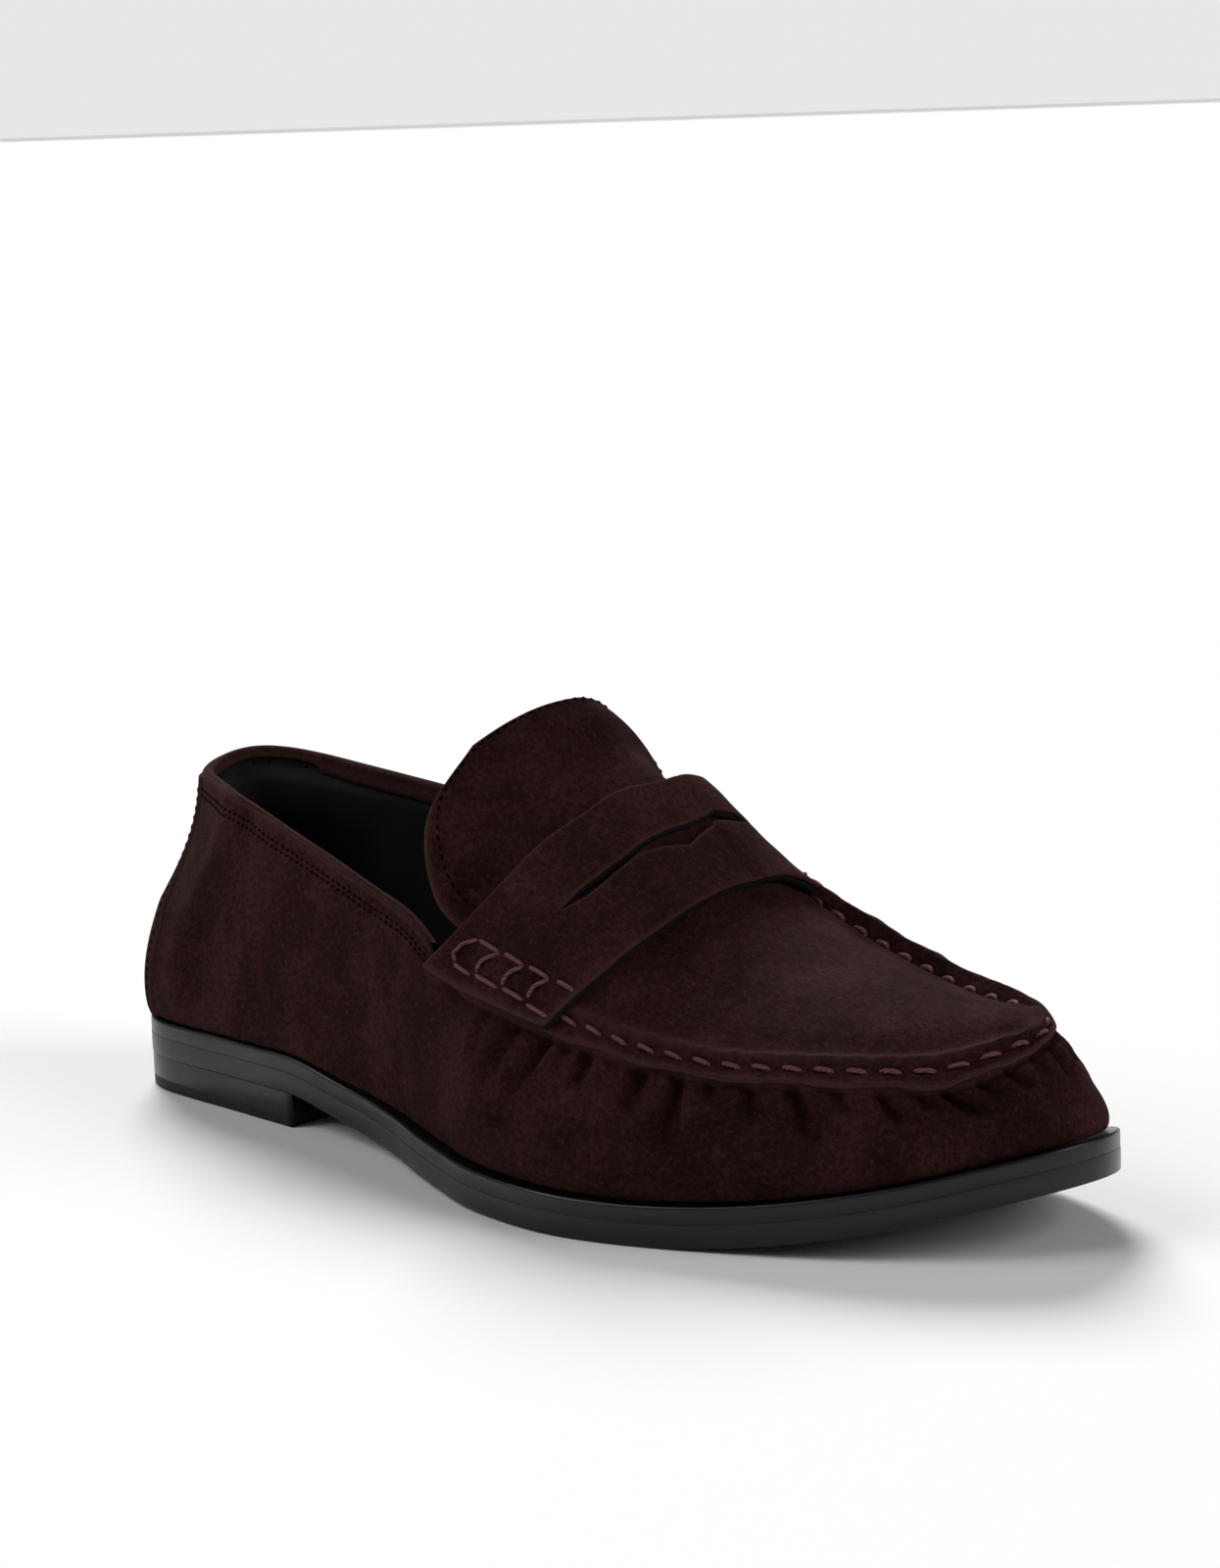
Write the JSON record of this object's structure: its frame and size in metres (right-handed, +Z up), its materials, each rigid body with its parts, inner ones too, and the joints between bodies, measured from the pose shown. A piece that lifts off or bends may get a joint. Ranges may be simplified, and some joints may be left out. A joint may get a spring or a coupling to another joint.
{
  "type": "penny loafer",
  "caption": "Suede penny loafer for the right foot: moccasin apron with hand-stitched edge, slotted saddle strap, tall tongue, low heel and thin welted sole.",
  "frame": {"origin": "centre of the footprint, on the ground under the shoe", "axes": "+Z up, +Y towards the heel (the toe points to -Y), +X towards the inner side of the right foot"},
  "size_m": [0.1045, 0.3016, 0.1113],
  "materials": {
    "suede": "suede nap, dark oxblood",
    "lining_black": "smooth matt black lining leather",
    "lining_tan": "undyed lining leather",
    "edge_black": "raw dyed cut edge",
    "sole_black": "black, semi-gloss polished edge",
    "heel_black": "black, satin",
    "rubber_black": "black, matt",
    "cork": "pressed cork",
    "board": "fibre board",
    "fibre": "stiffener sheet",
    "foam": "soft foam",
    "thread": "waxed thread, rose burgundy",
    "steel": "plain steel"
  },
  "bodies": {
    "shoe": {"outsole": "sole_black", "welt": "sole_black", "heel_block": "heel_black", "heel_top_lift": "rubber_black", "heel_nail_1": "steel", "heel_nail_2": "steel", "heel_nail_3": "steel", "heel_nail_4": "steel", "heel_nail_5": "steel", "filler": "cork", "seat_filler": "cork", "shank": "steel", "insole_board": "board", "sock_lining": "lining_black", "heel_pad": "lining_black", "vamp": "suede", "inner_quarter": "suede", "heel_counter": "fibre", "toe_puff": "fibre", "collar_pad": "foam", "quarter_lining": "lining_black", "vamp_lining": "lining_tan", "collar_binding": "suede", "backstay": "suede", "apron": "suede", "apron_lining": "lining_tan", "strap": "suede", "strap_underlay": "edge_black", "moc_thread": "thread", "ladder_thread_outer": "thread", "ladder_thread_inner": "thread", "bar_thread_outer": "thread", "topline_thread_1": "thread", "topline_thread_2": "thread", "topline_thread_3": "thread", "backstay_thread_1": "thread", "backstay_thread_2": "thread"},
    "tongue": {"tongue": "suede", "tongue_lining": "lining_black", "tongue_thread": "thread"}
  },
  "joints": [
    {"name": "tongue_hinge", "type": "hinge", "parent": "shoe", "child": "tongue", "pos_m": [0.008, -0.0402, 0.069], "axis": [1, 0, 0], "range_deg": [-16, 2], "stiffness_Nm_per_rad": 0.3}
  ]
}
